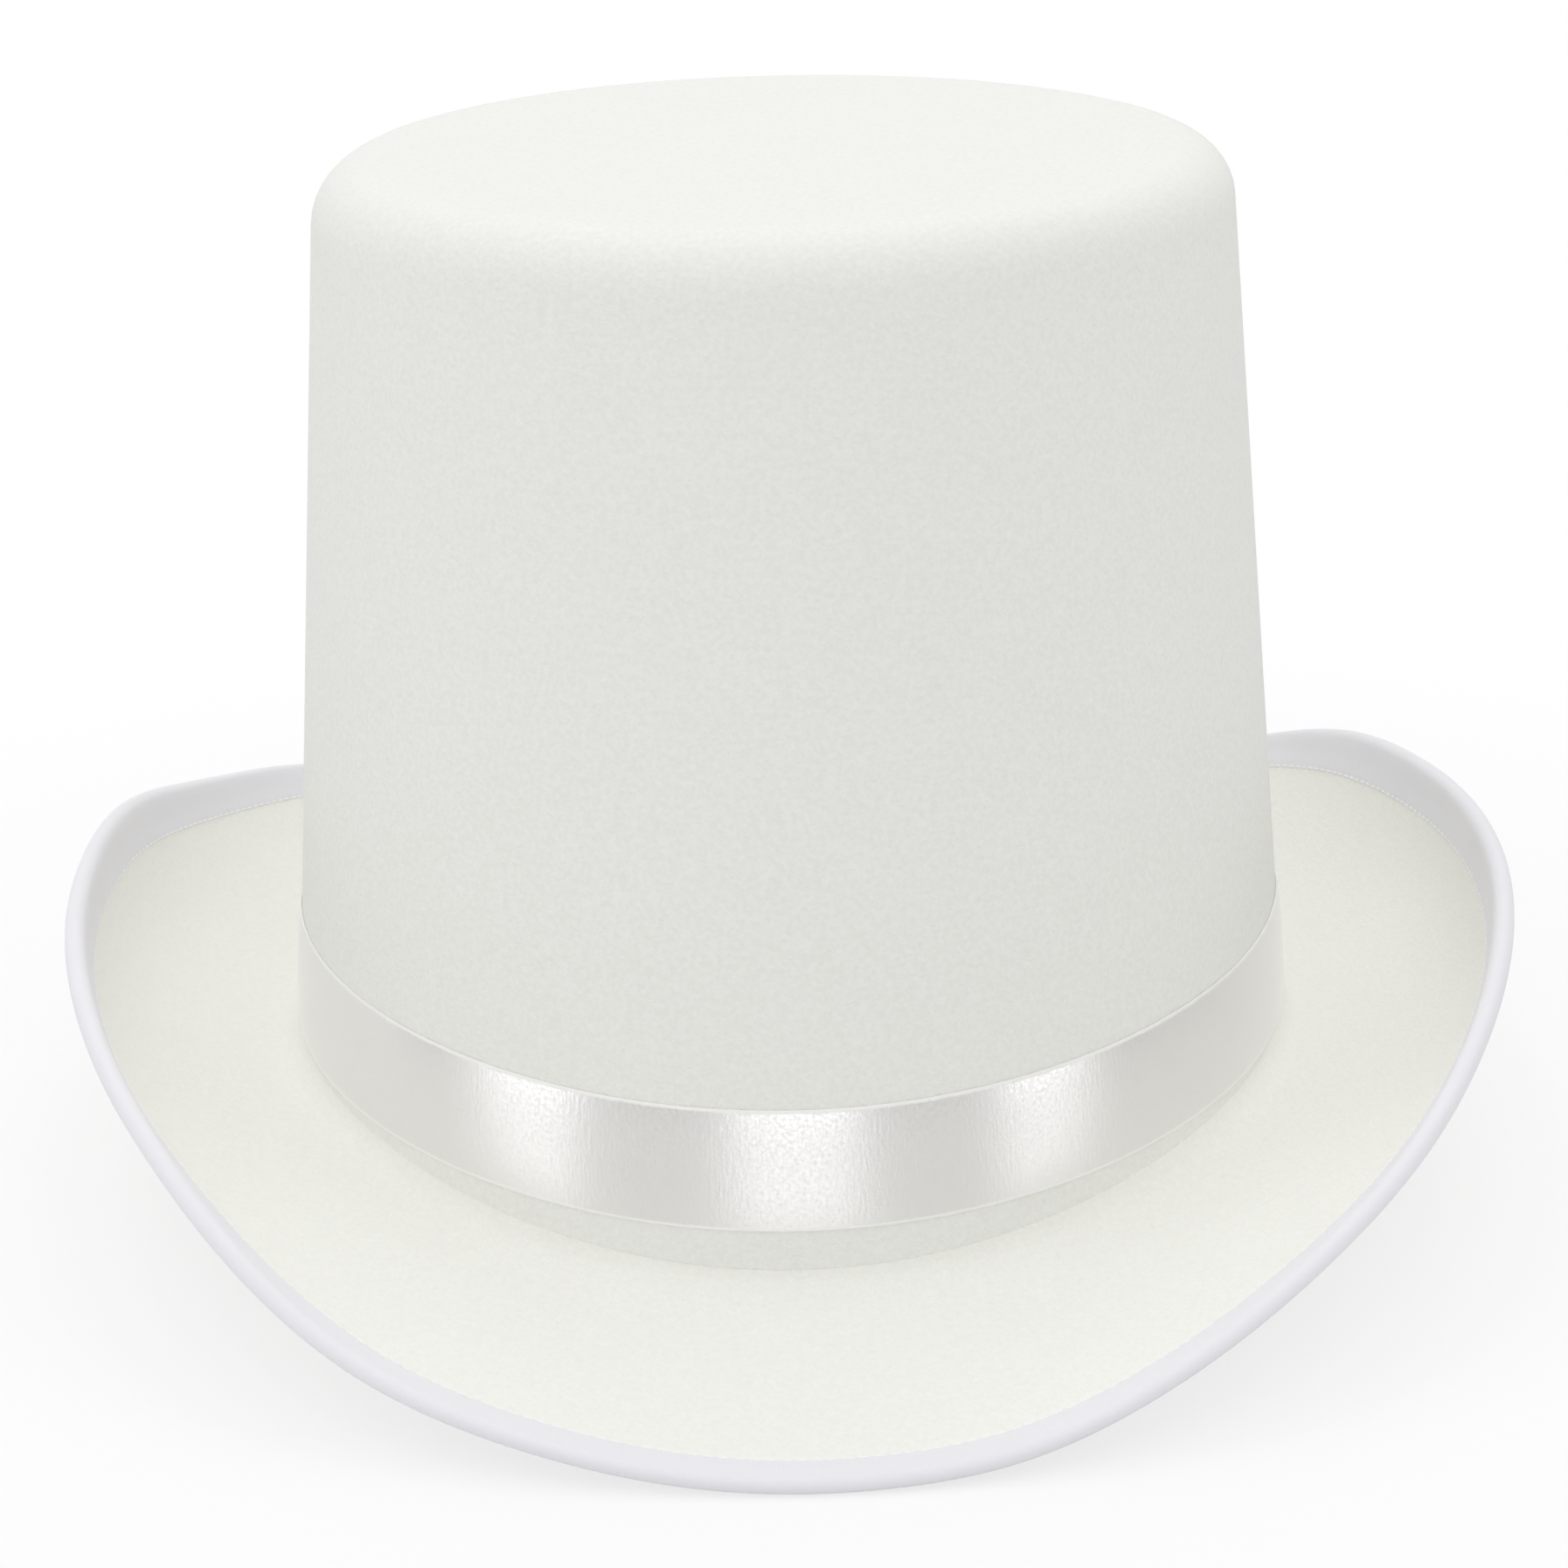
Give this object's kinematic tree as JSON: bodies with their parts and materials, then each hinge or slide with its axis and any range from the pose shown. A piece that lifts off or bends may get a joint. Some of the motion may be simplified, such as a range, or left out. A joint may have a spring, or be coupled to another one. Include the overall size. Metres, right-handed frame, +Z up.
{
  "type": "top hat",
  "caption": "White felt top hat with a tall tapered oval crown, flat tip, satin band and a brim rolled up at the sides with a taped, wired edge.",
  "frame": {"origin": "under the middle of the hat, on the surface that the front and back of the brim stand on", "axes": "+Z up through the crown, -Y towards the wearer's front, +X towards the wearer's left"},
  "size_m": [0.2528, 0.311, 0.1731],
  "materials": {
    "crown_felt": "white pressed felt with a short nap",
    "brim_felt": "warm white pressed felt with a short nap",
    "satin_ribbon": "white satin with bright selvages",
    "binding_tape": "cool white grosgrain tape",
    "sweatband_webbing": "off-white cotton twill tape",
    "sewing_thread": "white spun thread",
    "spring_steel": "bare spring steel wire",
    "brass": "drawn brass tube"
  },
  "bodies": {
    "root": {"crown": "crown_felt", "brim": "brim_felt", "hat_band": "satin_ribbon", "brim_binding": "binding_tape", "sweatband": "sweatband_webbing", "brim_wire": "spring_steel", "wire_sleeve": "brass", "binding_needle_thread": "sewing_thread", "binding_bobbin_thread": "sewing_thread", "sweatband_needle_thread": "sewing_thread", "sweatband_bobbin_thread": "sewing_thread"}
  },
  "joints": []
}
